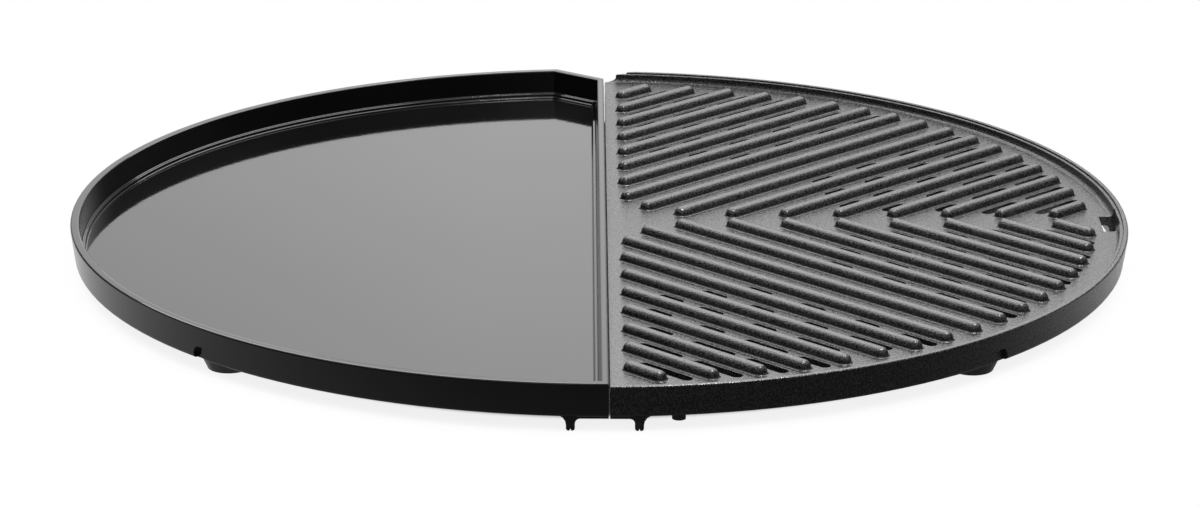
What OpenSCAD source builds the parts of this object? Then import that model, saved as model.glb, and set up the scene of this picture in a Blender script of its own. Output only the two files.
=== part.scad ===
// Round camp griddle plate in two half-moon castings: a flat tray and a ribbed grill, split along Y.
// Origin: centre of the round plate, on the surface its feet stand on. +Z up, notch at the back (+Y).

/* [Plate] */
// Outer diameter of the plate at the rim top
plate_d = 470; // [380:1:520]
// Height of the outer wall
wall_h = 14.9; // [12:0.1:20]
// Height of the feet below the outer wall
foot_h = 6.6; // [4:0.1:10]
// Distance from the plate's centre to the middle of the seam
seam_x = 3.2; // [0:0.1:6]
// Clear gap between the two halves
seam_gap = 0.6; // [0.4:0.1:2]
// How far the outer wall leans in from rim to foot
wall_taper = 1.6; // [0.4:0.1:3]
// Radius of the rim edges
edge_r = 0.8; // [0.3:0.1:1.2]
// Radius of the wall's lower edge
lower_edge_r = 1.6; // [0.5:0.1:2.5]

/* [Flat half] */
// Depth of the tray below the rim top
tray_depth = 12.6; // [9:0.1:13]
// Width of the rim top round the arc
tray_rim_w = 4; // [3:0.1:6]
// Width of the straight rim along the seam
divider_w = 3.2; // [2.4:0.1:6]
// How far the tray's wall leans out from floor to rim
tray_draft = 0.8; // [0.2:0.1:2]
// Width of the ledge at the foot of the tray's wall
ledge_w = 1.6; // [0.8:0.1:3]
// Height of that ledge above the tray floor
ledge_h = 1.6; // [0.8:0.1:3]
// Length along the seam side that the back corner is cut away
tray_corner_d = 18; // [10:0.5:26]
// Width across the back corner that is cut away
tray_corner_w = 23; // [12:0.5:30]

/* [Ribbed half] */
// How far the ribbed half's rim lies below the flat half's
grill_drop = 1.2; // [0:0.1:2]
// Depth of the grill floor below the ribbed half's rim top
grill_depth = 4.5; // [3.5:0.1:6]
// Thickness of the grill floor
grill_floor_t = 4; // [3:0.1:5]
// Thickness of the skirt round the hollow underside
skirt_t = 4; // [3:0.1:5]
// Width of the rim's top lip
lip_w = 2.2; // [1.6:0.1:4]
// Step down from the lip to the rim's inner band
band_drop = 0.7; // [0.3:0.1:1.2]
// Width of the rim's inner band
band_w = 1.7; // [1:0.1:3]
// Run of the curved wall from the band down to the floor
cove_run = 2.2; // [1.5:0.1:4]
// Height of the parting line above the wall's lower edge
parting_h = 5.5; // [3:0.1:8]
// Step at the parting line
parting_step = 0.35; // [0.1:0.05:0.6]
// Depth that the back corner is cut away at the seam
grill_corner_d = 5.6; // [3:0.1:7]
// Width across the back corner that is cut away
grill_corner_w = 17; // [8:0.5:24]

/* [Ribs] */
// Number of ribs in each mirrored set
rib_count = 17; // [9:2:21]
// Spacing of the ribs across their length
rib_pitch = 17.1; // [14:0.1:20]
// Height of the ribs above the grill floor
rib_h = 3.8; // [3:0.1:5]
// Radius of the rounded rib crest
rib_crest_r = 3.3; // [2.4:0.1:4]
// Radius of the flare where a rib meets the floor
rib_flare_r = 1.2; // [0.8:0.1:1.8]
// Clear floor between the two sets along the spine
spine_w = 8; // [4:0.5:14]
// Clear floor between the seam edge and the rib ends
seam_margin = 4.6; // [3:0.1:10]
// Clear floor between the outer circle and the rib ends, at the front and back
rim_margin = 17; // [12:0.5:24]
// Radius that the rib ends follow where the seam meets the spine
inner_corner_r = 34; // [0:1:50]

/* [Drain slots] */
// Width of a drain slot
slot_w = 5; // [3:0.1:5.5]
// Straight length of a short slot
short_slot = 9; // [6:0.5:12]
// Straight length of a long slot
long_slot = 19; // [14:0.5:21]
// Spacing of the slots along a gutter
slot_pitch = 30.4; // [26:0.1:36]
// Shift of the rows from one gutter to the next
row_shift = 13.4; // [10:0.1:16]
// Distance of the long row from the outer circle on the diagonal
long_row = 7.5; // [0:0.5:14]
// Radius of the middle zone without slots
closed_r = 110; // [90:1:120]
// Gutters left closed on each side of the diagonal rib
closed_gutters = 1; // [0:1:2]
// Clear floor between the outer circle and the slot ends, at the front and back
slot_margin = 18; // [16:0.5:24]

/* [Lifting slot] */
// Length of the lifting slot along the rim
lift_l = 22; // [16:0.5:30]
// Width of the lifting slot
lift_w = 7.2; // [5:0.1:8]
// Wall left between the slot and the outer face
lift_wall = 2; // [1.8:0.1:4]
// Shift of the slot towards the front
lift_shift = 3; // [0:0.5:6]

/* [Feet] */
// Diameter of a round foot at its bottom
foot_d = 18.5; // [12:0.5:20]
// Diameter of a round foot where it meets the underside
foot_top_d = 25; // [20:0.5:27]
// Flat underside left between a round foot and the wall's lower edge
foot_gap = 0.8; // [0.6:0.1:4]
// Angle of the round feet from the X axis
foot_angle = 45; // [35:1:55]
// Width of the notch in the wall beside a round foot
notch_w = 9; // [6:0.5:12]
// Height of that notch
notch_h = 6; // [4.5:0.5:7]
// Depth of that notch
notch_depth = 2.2; // [1:0.1:2.4]
// Distance between the two locating prongs at the front
prong_pitch = 27.6; // [20:0.1:40]
// Shift of that pair from the seam towards the flat half
prong_shift = 1.8; // [0:0.1:4]
// Width of a prong
prong_w = 3.6; // [2.5:0.1:6]
// Thickness of a prong and its web
prong_t = 3.6; // [2.5:0.1:4]
// Height of the web below the wall
web_drop = 1.5; // [0.8:0.1:3]
// Diameter of the ribbed half's small stud beside its front prong
stud_d = 5.6; // [4:0.1:7]
// Length of that stud below the wall
stud_drop = 2.8; // [1.5:0.1:3.5]
// Distance of that stud from the seam edge
stud_x = 27.5; // [22:0.5:40]
// Distance of that stud's centre from the inside of the skirt
stud_inset = 1.4; // [0.8:0.1:2]

/* [Hidden] */
$fn = 96;

plate_r = plate_d / 2;
wall_z = foot_h;
rim_z = wall_z + wall_h;
tray_z = rim_z - tray_depth;
grill_rim_z = rim_z - grill_drop;
grill_z = grill_rim_z - grill_depth;
under_z = grill_z - grill_floor_t;
flat_edge_x = seam_x - seam_gap / 2;
ribbed_edge_x = seam_x + seam_gap / 2;
underside_r = plate_r - wall_taper - lower_edge_r;
foot_inset = wall_taper + max(lower_edge_r, notch_depth) + foot_gap + foot_top_d / 2;
foot_root_z = wall_z + (tray_z - wall_z) / 2;
far = 2 * plate_d;
weld = 0.5;
arc_steps = 4;

// Rib section: a round crest and a hollow flare on each side. The flare crosses the crest by flare_lap
// and ends at flare_end from level, so that the surfaces meet at clear angles.
flare_end = 18;
flare_lap = 0.07 * rib_flare_r;
crest_z = rib_h - rib_crest_r;
flare_z = rib_flare_r * cos(flare_end);
flare_x = sqrt(pow(rib_crest_r + rib_flare_r - flare_lap, 2) - pow(flare_z - crest_z, 2));
rib_foot = flare_x - rib_flare_r * sin(flare_end);
rib_fn = 24;

// Points of an arc about c, from angle a0 to a1.
function arc(c, r, a0, a1, n = arc_steps) =
    [for (i = [0:n]) let (a = a0 + (a1 - a0) * i / n) c + r * [cos(a), sin(a)]];

// Place on the outer circle at a given X, on the back side.
function circle_y(x) = sqrt(plate_r * plate_r - x * x);

// Profiles are lists of [inset from the outer edge, height].

function outer_profile(top, taper, low_r, step = 0, step_h = 0) = let (
    step_u = taper * (top - wall_z - step_h) / (top - wall_z)
) concat(
    arc([edge_r, top - edge_r], edge_r, 90, 180),
    step > 0 ? [[step_u, wall_z + step_h + step], [step_u + step, wall_z + step_h]] : [],
    arc([taper + low_r, wall_z + low_r], low_r, 180, 270));

function tray_profile(rim_w) = let (
    foot_u = rim_w + tray_draft,
    ledge_z = tray_z + ledge_h,
    ledge_u = foot_u + ledge_w,
    ledge_r = ledge_h * 0.4
) concat(
    [[rim_w - edge_r, rim_z + weld]],
    arc([rim_w - edge_r, rim_z - edge_r], edge_r, 90, 0),
    arc([foot_u + ledge_r, ledge_z + ledge_r], ledge_r, 180, 270),
    arc([ledge_u - ledge_r, ledge_z - ledge_r], ledge_r, 90, 0),
    arc([ledge_u + ledge_r, tray_z + ledge_r], ledge_r, 180, 270));

function grill_profile() = let (
    band_u = lip_w + band_w,
    band_z = grill_rim_z - band_drop,
    cove_z = grill_z + cove_run,
    groove_r = band_drop * 0.5
) concat(
    [[lip_w - edge_r, grill_rim_z + weld]],
    arc([lip_w - edge_r * 0.6, grill_rim_z - edge_r * 0.6], edge_r * 0.6, 90, 0),
    [[lip_w, band_z - groove_r], [lip_w + groove_r, band_z - groove_r], [lip_w + groove_r, band_z]],
    arc([band_u - edge_r * 0.6, band_z - edge_r * 0.6], edge_r * 0.6, 90, 0),
    arc([band_u + cove_run, cove_z], cove_run, 180, 262));

// Solid of revolution of a profile, filled to the axis.
module turned(profile) {
    last = profile[len(profile) - 1];
    rotate_extrude()
        polygon(concat(
            [for (p = profile) [plate_r - p.x, p.y]],
            [[0, last.y], [0, profile[0].y]]));
}

// The same profile run along a straight edge whose outward normal is at angle a, at distance d.
module edged(profile, a, d) {
    last = profile[len(profile) - 1];
    rotate([0, 0, a])
        translate([d, 0, 0])
            rotate([90, 0, 0])
                linear_extrude(height = far, center = true)
                    polygon(concat(
                        [for (p = profile) [-p.x, p.y]],
                        [[-far, last.y], [-far, profile[0].y]]));
}

// Everything up to an upright plane whose outward normal is at angle a, at distance d.
module trimmed(a, d) {
    rotate([0, 0, a])
        translate([d - far, -far / 2, 0])
            cube([far, far, rim_z + weld]);
}

// Straight cut across a back corner, from the outer circle to the seam edge, as the angle of its
// outward normal and its distance from the centre. side is -1 for the flat half, 1 for the ribbed.
function corner(edge_x, w, d, side) = let (
    p = [edge_x + side * w, circle_y(edge_x + side * w)],
    q = [edge_x, circle_y(edge_x) - d],
    a = atan2(w, side * (q.y - p.y))
) [a, p.x * cos(a) + p.y * sin(a)];

tray_corner = corner(flat_edge_x, tray_corner_w, tray_corner_d, -1);
grill_corner = corner(ribbed_edge_x, grill_corner_w, grill_corner_d, 1);

// Round foot, tapered into the casting, with its top at z = top.
module round_foot(top) {
    bottom_r = foot_d / 2;
    rotate_extrude()
        polygon(concat(
            [[0, 0]],
            arc([bottom_r - edge_r, edge_r], edge_r, 270, 360),
            [[foot_top_d / 2, foot_root_z], [foot_top_d / 2, top], [0, top]]));
}

// Places the children at the round feet of one half: side is -1 for the flat half, 1 for the ribbed.
module at_feet(side) {
    for (back = [-1, 1])
        rotate([0, 0, side > 0 ? back * foot_angle : 180 - back * foot_angle])
            translate([plate_r - foot_inset, 0, 0])
                children();
}

// Arched notch in the outer wall in front of a round foot.
module foot_notch() {
    translate([foot_inset - wall_taper - notch_depth, 0, wall_z])
        rotate([90, 0, 90])
            linear_extrude(height = far)
                union() {
                    translate([-notch_w / 2, -weld])
                        square([notch_w, notch_h - notch_w / 2 + weld]);
                    translate([0, notch_h - notch_w / 2])
                        circle(d = notch_w);
                }
}

// Prong with its web up to the seam edge, drawn as seen from the front; x runs away from the seam.
module prong_outline(reach) {
    root_r = web_drop * 1.4;
    tip_r = prong_w * 0.3;
    split = prong_w * 0.12;
    left = reach - prong_w / 2;
    right = reach + prong_w / 2;
    web_z = wall_z - web_drop;
    polygon(concat(
        [[0, wall_z + weld], [0, web_z]],
        arc([left - root_r, web_z - root_r], root_r, 90, 0),
        arc([left + tip_r, tip_r], tip_r, 180, 270),
        [[reach - split, 0], [reach, 2 * split], [reach + split, 0]],
        arc([right - tip_r, tip_r], tip_r, 270, 360),
        arc([right + 2 * root_r, wall_z - 2 * root_r], 2 * root_r, 180, 90),
        [[right + 2 * root_r, wall_z + weld]]));
}

// Prong at the front or back of one half, set just inside the wall's lower edge.
module prong(side, back) {
    edge_x = side > 0 ? ribbed_edge_x : flat_edge_x;
    reach = prong_pitch / 2 - seam_gap / 2 - side * prong_shift;
    far_x = abs(edge_x) + reach + prong_w;
    front_y = sqrt(underside_r * underside_r - far_x * far_x) - weld;
    corner_d = side > 0 ? grill_corner_d : tray_corner_d;
    back_y = circle_y(edge_x) - corner_d - edge_r - weld;
    translate([edge_x, back > 0 ? min(front_y, back_y) : prong_t - front_y, 0])
        mirror([side > 0 ? 0 : 1, 0, 0])
            rotate([90, 0, 0])
                linear_extrude(height = prong_t)
                    prong_outline(reach);
}

module flat_griddle_half() {
    color("#1b1b1c")
        difference() {
            union() {
                difference() {
                    intersection() {
                        turned(outer_profile(rim_z, wall_taper, lower_edge_r));
                        edged(outer_profile(rim_z, 0, edge_r), 0, flat_edge_x);
                        edged(outer_profile(rim_z, 0, edge_r), tray_corner[0], tray_corner[1]);
                    }
                    intersection() {
                        turned(tray_profile(tray_rim_w));
                        edged(tray_profile(divider_w), 0, flat_edge_x);
                        edged(tray_profile(tray_rim_w), tray_corner[0], tray_corner[1]);
                    }
                }
                at_feet(-1)
                    round_foot(foot_root_z + (tray_z - wall_z) / 4);
                for (back = [-1, 1])
                    prong(-1, back);
            }
            at_feet(-1)
                foot_notch();
        }
}

// Cross section of a rib standing on y = 0.
module rib_section() {
    intersection() {
        translate([-flare_x, -weld])
            square([2 * flare_x, 2 * weld + rib_h]);
        union() {
            translate([0, crest_z])
                circle(r = rib_crest_r, $fn = rib_fn);
            difference() {
                translate([-flare_x, -weld])
                    square([2 * flare_x, weld + flare_z]);
                for (side = [-1, 1])
                    translate([side * flare_x, flare_z])
                        circle(r = rib_flare_r, $fn = rib_fn);
            }
        }
    }
}

// Rounded end of a rib, turned towards +X.
module rib_end() {
    rotate([0, 0, -90])
        rotate_extrude(angle = 180, $fn = rib_fn)
            intersection() {
                rib_section();
                translate([0, -2 * rib_h])
                    square(4 * rib_h);
            }
}

// Rib along +X from x0 to x1, the centres of its rounded ends, standing on z = 0. The centres are kept
// to whole hundredths, so that the ends meet the straight part face to face.
module rib(x0, x1) {
    start = round(100 * x0) / 100;
    end = round(100 * x1) / 100;
    translate([start, 0, 0])
        rotate([90, 0, 90])
            linear_extrude(height = end - start)
                rib_section();
    translate([end, 0, 0])
        rib_end();
    translate([start, 0, 0])
        mirror([1, 0, 0])
            rib_end();
}

// A rib set lies at 45 degrees about the middle of the seam edge: s is the offset across the ribs,
// t runs along them, outwards.
// Innermost t that keeps x clear of the seam and y clear of the spine, rounded where those two meet.
function inner_t(s, clear) = let (
    x0 = seam_margin + clear,
    y0 = spine_w / 2 + clear,
    mid_s = (x0 - y0) / sqrt(2),
    mid_t = (x0 + y0 + 2 * inner_corner_r) / sqrt(2),
    off = abs(s - mid_s)
) off < inner_corner_r / sqrt(2)
    ? mid_t - sqrt(inner_corner_r * inner_corner_r - off * off)
    : max(sqrt(2) * x0 - s, sqrt(2) * y0 + s);

// Outermost t inside a circle of radius r.
function outer_t(s, r) = sqrt(r * r - s * s);

// Turns a set drawn along +X onto its diagonal: back is 1 for the back set, -1 for the front set.
module on_diagonal(back) {
    translate([ribbed_edge_x, 0, 0])
        mirror([0, back > 0 ? 0 : 1, 0])
            rotate([0, 0, 45])
                children();
}

// Ribs at the set's pitch, as far out as one of them still fits between spine and rim.
module rib_set() {
    field_r = plate_r - rim_margin - rib_foot;
    for (k = [0:rib_count - 1]) {
        s = (k - (rib_count - 1) / 2) * rib_pitch;
        if (abs(s) < field_r && outer_t(s, field_r) > inner_t(s, rib_foot) + rib_crest_r)
            translate([0, -s, grill_z])
                rib(inner_t(s, rib_foot), outer_t(s, field_r));
    }
}

// Slots of one gutter as [start, end] of their straight part; row 1 runs out to the rim, row 0 is
// long and the rows inside it are short.
function gutter_slots(s, a) = let (
    limit = outer_t(s, plate_r - slot_margin - slot_w / 2),
    first = max(inner_t(s, slot_w), outer_t(max(abs(s), 0), max(closed_r, abs(s) + slot_w)))
) [for (row = [-4:1]) let (
        mid = plate_r - long_row - row_shift * a + slot_pitch * row,
        half = (row < 0 ? short_slot : long_slot) / 2,
        start = row < 0 && mid - half < first && mid + half > first ? first : mid - half,
        end = row > 0 ? limit : min(start + 2 * half, limit)
    ) if (start >= first && end - start >= short_slot / 2) [start, end]];

module drain_slot(length) {
    linear_extrude(height = grill_floor_t + 2 * weld)
        union() {
            translate([0, -slot_w / 2])
                square([length, slot_w]);
            circle(d = slot_w);
            translate([length, 0])
                circle(d = slot_w);
        }
}

module slot_set() {
    gutters = rib_count - 1;
    for (g = [0:gutters - 1]) {
        a = abs(g - (gutters - 1) / 2);
        s = (g - (gutters - 1) / 2) * rib_pitch;
        if (a > closed_gutters)
            for (slot = gutter_slots(s, a))
                translate([slot[0], -s, under_z - weld])
                    drain_slot(slot[1] - slot[0]);
    }
}

// Hollow under the grill floor, inside the skirt.
module underside() {
    hollow_r = grill_floor_t / 2;
    profile = concat(
        arc([skirt_t + wall_taper + hollow_r, under_z - hollow_r], hollow_r, 90, 180),
        [[skirt_t + wall_taper, wall_z - weld]]);
    intersection() {
        turned(profile);
        edged([for (p = profile) [p.x - wall_taper, p.y]], 180, -ribbed_edge_x);
    }
}

// Rim, floor and skirt of the ribbed half with its feet, before slots and ribs.
module grill_blank() {
    difference() {
        union() {
            difference() {
                intersection() {
                    turned(outer_profile(grill_rim_z, wall_taper, lower_edge_r, parting_step, parting_h));
                    trimmed(180, -ribbed_edge_x);
                    trimmed(grill_corner[0], grill_corner[1]);
                }
                turned(grill_profile());
                underside();
            }
            at_feet(1)
                round_foot(under_z + weld);
            for (back = [-1, 1])
                prong(1, back);
            stud();
        }
        at_feet(1)
            foot_notch();
    }
}

// Small stud under the grill floor, against the inside of the front skirt.
module stud() {
    x = ribbed_edge_x + stud_x;
    r = plate_r - wall_taper - skirt_t - stud_inset;
    translate([x, -sqrt(r * r - x * x), wall_z - stud_drop])
        cylinder(d = stud_d, h = under_z + weld - wall_z + stud_drop);
}

module lifting_slot() {
    lift_x = plate_r - wall_taper - lift_wall - lift_w;
    translate([lift_x, -lift_l / 2 - lift_shift, wall_z - weld])
        cube([lift_w, lift_l, wall_h + 2 * weld]);
}

module ribbed_grill_half() {
    color("#3a3a3b")
        union() {
            difference() {
                grill_blank();
                for (back = [-1, 1])
                    on_diagonal(back)
                        slot_set();
                lifting_slot();
            }
            for (back = [-1, 1])
                on_diagonal(back)
                    rib_set();
        }
}

flat_griddle_half();
ribbed_grill_half();
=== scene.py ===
"""Round camp griddle plate in two coated halves, on a white floor under soft studio light."""

import math

import bpy
from mathutils import Matrix, Vector


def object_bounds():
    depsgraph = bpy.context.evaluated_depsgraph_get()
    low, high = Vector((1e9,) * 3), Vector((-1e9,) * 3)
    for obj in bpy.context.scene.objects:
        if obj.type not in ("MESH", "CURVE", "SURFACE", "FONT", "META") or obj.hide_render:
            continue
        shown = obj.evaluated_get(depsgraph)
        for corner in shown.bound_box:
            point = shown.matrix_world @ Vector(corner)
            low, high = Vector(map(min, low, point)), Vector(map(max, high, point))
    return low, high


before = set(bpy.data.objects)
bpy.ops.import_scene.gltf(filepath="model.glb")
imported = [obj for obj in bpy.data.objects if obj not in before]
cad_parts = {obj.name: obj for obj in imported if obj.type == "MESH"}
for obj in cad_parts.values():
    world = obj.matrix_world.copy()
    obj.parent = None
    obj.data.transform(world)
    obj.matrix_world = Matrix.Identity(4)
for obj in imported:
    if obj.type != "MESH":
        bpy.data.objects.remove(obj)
cad_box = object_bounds()
flat_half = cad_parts["flat_griddle_half"]
ribbed_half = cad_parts["ribbed_grill_half"]

# Sizes taken from the frame, in metres
RADIUS = (cad_box[1].y - cad_box[0].y) / 2
RIM_CENTRE = Vector((0, 0, cad_box[1].z))

# Camera as in the photograph: angles in degrees, places in the image and focal length in pixels
IMAGE_SIZE = (1200, 506)
RIM_CENTRE_PX = (599.2, 208.5)
FOCAL_PX = 4462.0
SENSOR_MM = 36.0
ELEVATION = 17.22
AZIMUTH = -0.3
ROLL = 0.26
DISTANCE = 8.5 * RADIUS
CLIP_END = 50.0

# Both coats: an edge that turns by more than the crease angle, in degrees, stays sharp; bumps in metres
CREASE_ANGLE = 28.0
BUMP_DEPTH = 0.0002
NOISE_RANGE = (0.0, 1.0)

# Gloss coat: noise scales per metre, greys as (noise, grey), polish by the Z of a face's normal
GLOSS_IOR = 1.62
CLOUD_SCALE = 9.0
CLOUD_DETAIL = 3.0
CLOUD_GREYS = ((0.3, 0.004), (0.7, 0.008))
WALL_TO_LEVEL_Z = (0.5, 0.95)
WALL_ROUGHNESS = 0.17
LEVEL_ROUGHNESS = 0.055
PEEL_SCALE = 420.0
PEEL_DETAIL = 2.0
PEEL_STRENGTH = 0.05

# Satin coat: one fine grain sets its colour, roughness and bump
SATIN_IOR = 1.6
GRAIN_SCALE = 1300.0
GRAIN_DETAIL = 1.0
GRAIN_FALLOFF = 0.6
GRAIN_GREYS = ((0.42, 0.006), (0.64, 0.066))
GRAIN_ROUGHNESS = (0.16, 0.46)
GRAIN_STRENGTH = 0.8

# Colour of the floor and of the studio
WHITE = (1, 1, 1, 1)

# Floor and the shadow on it, in metres: the shadow fades as less of the sky within reach is covered
FLOOR_SIZE = 12.0
SHADOW_REACH = 0.06
SHADOW_SAMPLES = 8
SHADOW_OPENNESS = (0.05, 0.6)

# Deepest tone of the shadow: under the plate, and outside a ring near its wall
SHADOW_RING = (0.895 * RADIUS, 0.93 * RADIUS)
SHADOW_DEEPEST = (0.02, 0.85)

# Floor in mirror rays, painted light that darkens it to the front: where along Y it is darkest and
# lightest, at the plate's left and right ends
MIRROR_DARK_Y = (-1.55 * RADIUS, -0.85 * RADIUS)
MIRROR_LIGHT_Y = (0.55 * RADIUS, 0.1 * RADIUS)
MIRROR_LEVELS = (0.08, 1.0)

# Studio in front and behind: light levels by direction, a unit vector with X right, Y back and Z up
FRONT_TO_BACK_Y = (-0.05, 0.3)
FRONT_LOW_TO_HIGH_Z = (0.1, 0.3)
FRONT_LEVELS = (0.05, 0.42)
BACK_LEVEL = 1.44

# Sides of the studio: the share of that light which is left there, low down and high up
MIDDLE_TO_SIDE_X = (0.02, 0.5)
SIDE_LOW_TO_HIGH_Z = (0.45, 0.8)
SIDE_SHARES = (0.04, 1.0)

# Area lamps, aimed at the middle of the rim: places and sizes in metres, powers in watts
LAMPS = {
    "softbox": {"place": (0.0, 0.95, 1.15), "size": (1.9, 1.0), "power": 17.5},
    "top_lamp": {"place": (0.25, -0.05, 1.3), "size": (0.2, 0.15), "power": 11.0},
}


def empty_tree(owner):
    """Switches a material or world to nodes and returns its tree with nothing in it."""
    owner.use_nodes = True
    owner.node_tree.nodes.clear()
    return owner.node_tree


def add_node(tree, kind, inputs=None, **settings):
    """Adds a node with these settings. Each input takes a constant or the output of another node."""
    node = tree.nodes.new(kind)
    for name, value in settings.items():
        setattr(node, name, value)
    for key, value in (inputs or {}).items():
        if isinstance(value, bpy.types.NodeSocket):
            tree.links.new(value, node.inputs[key])
        else:
            node.inputs[key].default_value = value
    return node


def add_math(tree, operation, *values):
    """Works out one number from one or two others."""
    return add_node(tree, "ShaderNodeMath", dict(enumerate(values)), operation=operation).outputs["Value"]


def split_axes(tree, vector):
    """The X, Y and Z of a vector, as a node's outputs."""
    return add_node(tree, "ShaderNodeSeparateXYZ", {"Vector": vector}).outputs


def ramp(tree, value, between, levels, curve="SMOOTHSTEP"):
    """Goes from one level to the other while a value passes between two ends, and stays level beyond."""
    ends = {"From Min": between[0], "From Max": between[1], "To Min": levels[0], "To Max": levels[1]}
    node = add_node(tree, "ShaderNodeMapRange", {"Value": value, **ends}, interpolation_type=curve)
    return node.outputs["Result"]


def object_noise(tree, scale, detail, falloff=0.5):
    """Noise from 0 to 1 that is fixed to the object."""
    place = add_node(tree, "ShaderNodeTexCoord").outputs["Object"]
    inputs = {"Vector": place, "Scale": scale, "Detail": detail, "Roughness": falloff}
    return add_node(tree, "ShaderNodeTexNoise", inputs).outputs["Fac"]


def grey_ramp(tree, value, stops):
    """Turns a value into a grey between two (value, grey) stops."""
    node = add_node(tree, "ShaderNodeValToRGB", {"Fac": value})
    for element, (place, grey) in zip(node.color_ramp.elements, stops):
        element.position = place
        element.color = (grey, grey, grey, 1)
    return node.outputs["Color"]


def bumped_normal(tree, height, strength):
    """The surface's normal, bent by bumps of this height."""
    inputs = {"Height": height, "Strength": strength, "Distance": BUMP_DEPTH}
    return add_node(tree, "ShaderNodeBump", inputs).outputs["Normal"]


def coat_surface(tree, ior, colour, roughness, normal):
    """Puts a coat's parts together as its surface."""
    inputs = {"IOR": ior, "Base Color": colour, "Roughness": roughness, "Normal": normal}
    shader = add_node(tree, "ShaderNodeBsdfPrincipled", inputs)
    add_node(tree, "ShaderNodeOutputMaterial", {"Surface": shader.outputs["BSDF"]})


def gloss_coat():
    """Glossy black non-stick coat: polished where it is level, softer on the walls."""
    material = bpy.data.materials.new("gloss_coat")
    tree = empty_tree(material)
    clouds = grey_ramp(tree, object_noise(tree, CLOUD_SCALE, CLOUD_DETAIL), CLOUD_GREYS)
    upward = split_axes(tree, add_node(tree, "ShaderNodeNewGeometry").outputs["Normal"])["Z"]
    polish = ramp(tree, upward, WALL_TO_LEVEL_Z, (WALL_ROUGHNESS, LEVEL_ROUGHNESS))
    orange_peel = bumped_normal(tree, object_noise(tree, PEEL_SCALE, PEEL_DETAIL), PEEL_STRENGTH)
    coat_surface(tree, GLOSS_IOR, clouds, polish, orange_peel)
    return material


def satin_coat():
    """Satin black non-stick coat with a fine sprayed grain."""
    material = bpy.data.materials.new("satin_coat")
    tree = empty_tree(material)
    grain = object_noise(tree, GRAIN_SCALE, GRAIN_DETAIL, GRAIN_FALLOFF)
    speckle = grey_ramp(tree, grain, GRAIN_GREYS)
    sheen = ramp(tree, grain, NOISE_RANGE, GRAIN_ROUGHNESS, "LINEAR")
    coat_surface(tree, SATIN_IOR, speckle, sheen, bumped_normal(tree, grain, GRAIN_STRENGTH))
    return material


def floor_material():
    """The camera sees white with the object's shadow close round it. Mirror rays see a floor of painted
    light that darkens to the front, with the same shadow, and other rays a matt floor painted in those
    greys."""
    material = bpy.data.materials.new("floor")
    tree = empty_tree(material)
    path = add_node(tree, "ShaderNodeLightPath").outputs
    place = add_node(tree, "ShaderNodeTexCoord").outputs["Object"]
    axes = split_axes(tree, place)

    # Shadow: deep under the plate, faint from the ring outwards, and gone where the floor is open
    from_centre = add_node(tree, "ShaderNodeVectorMath", {0: place}, operation="LENGTH").outputs["Value"]
    deepest = ramp(tree, from_centre, SHADOW_RING, SHADOW_DEEPEST)
    sky = add_node(tree, "ShaderNodeAmbientOcclusion", {"Distance": SHADOW_REACH}, samples=SHADOW_SAMPLES)
    shadow = ramp(tree, sky.outputs["AO"], SHADOW_OPENNESS, (deepest, 1.0))

    # Painted light: the floor's glowing level in mirror rays, and its matt grey for other rays, darker to
    # the front; it darkens more slowly on the left than on the right
    ends = (-RADIUS, RADIUS)
    dark_y = ramp(tree, axes["X"], ends, MIRROR_DARK_Y, "LINEAR")
    light_y = ramp(tree, axes["X"], ends, MIRROR_LIGHT_Y, "LINEAR")
    grey = ramp(tree, axes["Y"], (dark_y, light_y), MIRROR_LEVELS)

    # Camera and mirror rays meet the shaded level as light, other rays a matt surface
    level = add_math(tree, "MAXIMUM", grey, path["Is Camera Ray"])
    strength = add_math(tree, "MULTIPLY", level, shadow)
    shown = add_node(tree, "ShaderNodeEmission", {"Color": WHITE, "Strength": strength})
    matt = add_node(tree, "ShaderNodeBsdfDiffuse", {"Color": grey})
    is_shown = add_math(tree, "MAXIMUM", path["Is Camera Ray"], path["Is Glossy Ray"])
    choice = {"Fac": is_shown, 1: matt.outputs["BSDF"], 2: shown.outputs["Emission"]}
    surface = add_node(tree, "ShaderNodeMixShader", choice)
    add_node(tree, "ShaderNodeOutputMaterial", {"Surface": surface.outputs["Shader"]})
    return material


def dress(obj, material):
    """Gives an object one material all over."""
    obj.data.materials.clear()
    obj.data.materials.append(material)


def smooth_shade(obj):
    """Shades an object smoothly, with its sharper edges kept sharp."""
    obj.data.shade_smooth()
    obj.data.set_sharp_from_angle(angle=math.radians(CREASE_ANGLE))


def place_in_scene(name, data):
    """Makes an object of this name and puts it in the scene."""
    obj = bpy.data.objects.new(name, data)
    bpy.context.scene.collection.objects.link(obj)
    return obj


def add_floor():
    """A square floor under the object's feet."""
    mesh = bpy.data.meshes.new("floor")
    edge = FLOOR_SIZE / 2
    corners = [(-edge, -edge, 0), (edge, -edge, 0), (edge, edge, 0), (-edge, edge, 0)]
    mesh.from_pydata(corners, [], [(0, 1, 2, 3)])
    floor = place_in_scene("floor", mesh)
    dress(floor, floor_material())


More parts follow.
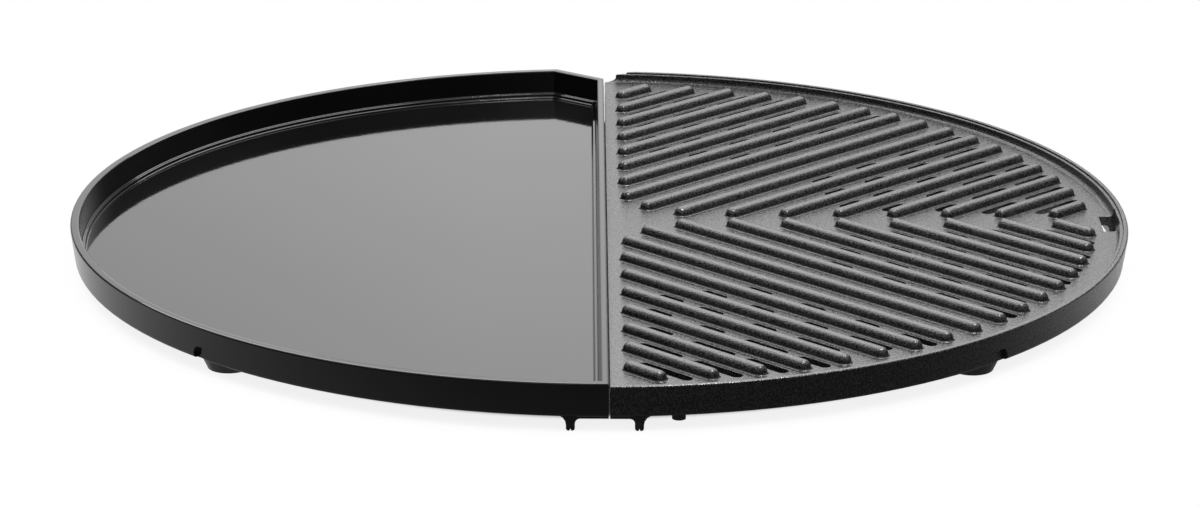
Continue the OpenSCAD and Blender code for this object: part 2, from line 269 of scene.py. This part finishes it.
def add_world():
    """The studio that the coats mirror: bright behind, dim low in front and at the low sides. The camera
    itself sees white."""
    world = bpy.data.worlds.new("studio")
    bpy.context.scene.world = world
    tree = empty_tree(world)
    direction = split_axes(tree, add_node(tree, "ShaderNodeTexCoord").outputs["Generated"])

    front_level = ramp(tree, direction["Z"], FRONT_LOW_TO_HIGH_Z, FRONT_LEVELS)
    level = ramp(tree, direction["Y"], FRONT_TO_BACK_Y, (front_level, BACK_LEVEL))
    side_share = ramp(tree, direction["Z"], SIDE_LOW_TO_HIGH_Z, SIDE_SHARES)
    sideways = add_math(tree, "ABSOLUTE", direction["X"])
    share = ramp(tree, sideways, MIDDLE_TO_SIDE_X, (1.0, side_share), "LINEAR")
    strength = add_math(tree, "MULTIPLY", level, share)

    studio = add_node(tree, "ShaderNodeBackground", {"Color": WHITE, "Strength": strength})
    backdrop = add_node(tree, "ShaderNodeBackground", {"Color": WHITE, "Strength": 1.0})
    is_camera = add_node(tree, "ShaderNodeLightPath").outputs["Is Camera Ray"]
    choice = {"Fac": is_camera, 1: studio.outputs["Background"], 2: backdrop.outputs["Background"]}
    surface = add_node(tree, "ShaderNodeMixShader", choice)
    add_node(tree, "ShaderNodeOutputWorld", {"Surface": surface.outputs["Shader"]})


def add_lamp(name, place, size, power):
    """An area lamp that points at the middle of the rim."""
    data = bpy.data.lights.new(name, "AREA")
    data.shape = "RECTANGLE"
    data.size, data.size_y = size
    data.energy = power
    lamp = place_in_scene(name, data)
    lamp.location = place
    lamp.rotation_euler = (RIM_CENTRE - Vector(place)).to_track_quat("-Z", "Y").to_euler()


def add_camera():
    """Looks along +Y from in front and above, with the rim's centre where the photograph has it."""
    data = bpy.data.cameras.new("camera")
    data.sensor_fit = "HORIZONTAL"
    data.sensor_width = SENSOR_MM
    data.lens = SENSOR_MM * FOCAL_PX / IMAGE_SIZE[0]
    data.clip_end = CLIP_END
    camera = place_in_scene("camera", data)
    bpy.context.scene.camera = camera

    up, round_z = math.radians(ELEVATION), math.radians(AZIMUTH)
    away = Vector((math.sin(round_z) * math.cos(up), -math.cos(round_z) * math.cos(up), math.sin(up)))
    aim = (-away).to_track_quat("-Z", "Y").to_matrix()
    right = math.atan((IMAGE_SIZE[0] / 2 - RIM_CENTRE_PX[0]) / FOCAL_PX)
    down = math.atan((IMAGE_SIZE[1] / 2 - RIM_CENTRE_PX[1]) / FOCAL_PX)
    turn = (Matrix.Rotation(-right, 3, "Y") @ Matrix.Rotation(-down, 3, "X")
            @ Matrix.Rotation(math.radians(ROLL), 3, "Z"))
    camera.matrix_world = Matrix.Translation(RIM_CENTRE + DISTANCE * away) @ (aim @ turn).to_4x4()


bpy.context.scene.view_settings.view_transform = "Standard"
for half, coat in ((flat_half, gloss_coat()), (ribbed_half, satin_coat())):
    smooth_shade(half)
    dress(half, coat)
add_floor()
add_world()
for lamp_name, lamp in LAMPS.items():
    add_lamp(lamp_name, **lamp)
add_camera()
